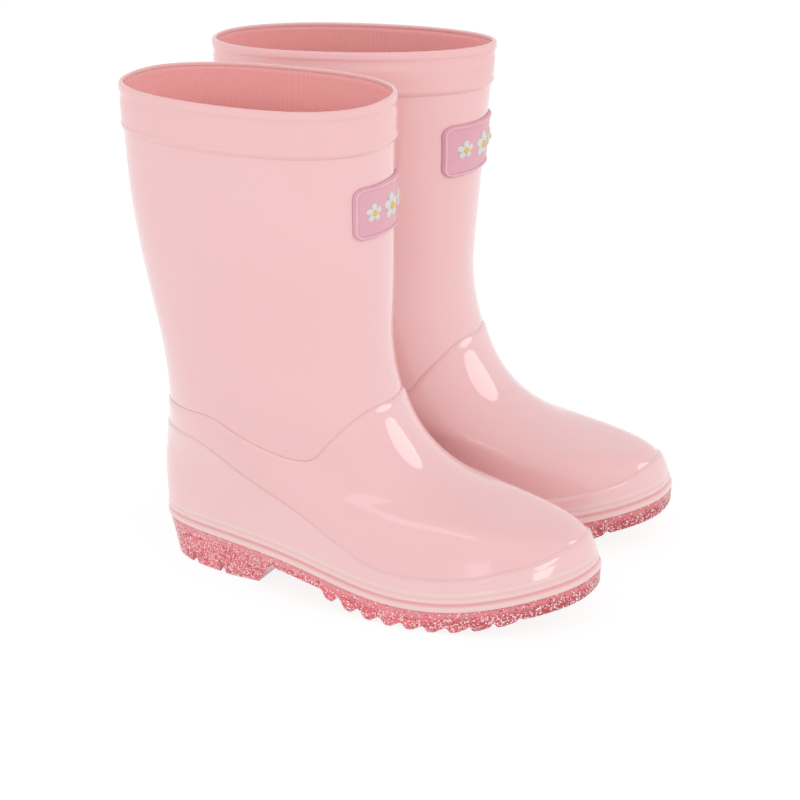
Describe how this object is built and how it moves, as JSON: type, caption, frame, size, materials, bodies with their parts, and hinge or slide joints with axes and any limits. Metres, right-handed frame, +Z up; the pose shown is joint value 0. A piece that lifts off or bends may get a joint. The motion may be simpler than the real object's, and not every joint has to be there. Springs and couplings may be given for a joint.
{
  "type": "pair of rain boots",
  "caption": "Child's pair of calf-high glossy pink rain boots with layered uppers, knit lining, loose insole, badge on the shaft and glitter sole.",
  "frame": {"origin": "on the ground, under the middle of the pair's box", "axes": "+X towards the toes, +Y towards the wearer's left, +Z up"},
  "size_m": [0.1941, 0.1552, 0.1923],
  "materials": {
    "upper_pvc": "high gloss moulded PVC",
    "welt_pvc": "high gloss moulded PVC",
    "glitter_sole": "glossy, translucent, with glitter flakes",
    "rib_knit": "fine rib knit",
    "insole_foam": "matt foam",
    "badge_mauve": "satin",
    "badge_pale": "gloss",
    "badge_white": "gloss",
    "badge_yellow": "gloss"
  },
  "bodies": {
    "right_boot": {"right_leg_shell": "upper_pvc", "right_top_band": "upper_pvc", "right_galosh": "upper_pvc", "right_foxing": "upper_pvc", "right_welt": "welt_pvc", "right_outsole": "glitter_sole", "right_lining_sock": "rib_knit", "right_badge_plate": "badge_mauve", "right_badge_border": "badge_pale", "right_badge_blossoms": "badge_white", "right_badge_centres": "badge_yellow"},
    "left_boot": {"left_leg_shell": "upper_pvc", "left_top_band": "upper_pvc", "left_galosh": "upper_pvc", "left_foxing": "upper_pvc", "left_welt": "welt_pvc", "left_outsole": "glitter_sole", "left_lining_sock": "rib_knit", "left_badge_plate": "badge_mauve", "left_badge_border": "badge_pale", "left_badge_blossoms": "badge_white", "left_badge_centres": "badge_yellow"},
    "right_insole": {"right_insole_foam": "insole_foam", "right_insole_cover": "rib_knit"},
    "left_insole": {"left_insole_foam": "insole_foam", "left_insole_cover": "rib_knit"}
  },
  "joints": [
    {"name": "right_insole_lift", "type": "hinge", "parent": "right_boot", "child": "right_insole", "pos_m": [0.08798, -0.04129, 0.01857], "axis": [0.0584, 0.9983, 0], "range_deg": [0, 7]},
    {"name": "left_boot_lift", "type": "slide", "parent": "right_boot", "child": "left_boot", "axis": [0, 0, 1], "range_m": [0, 0.25]},
    {"name": "left_insole_lift", "type": "hinge", "parent": "left_boot", "child": "left_insole", "pos_m": [0.08948, 0.04129, 0.01857], "axis": [-0.0584, 0.9983, 0], "range_deg": [0, 7]}
  ]
}
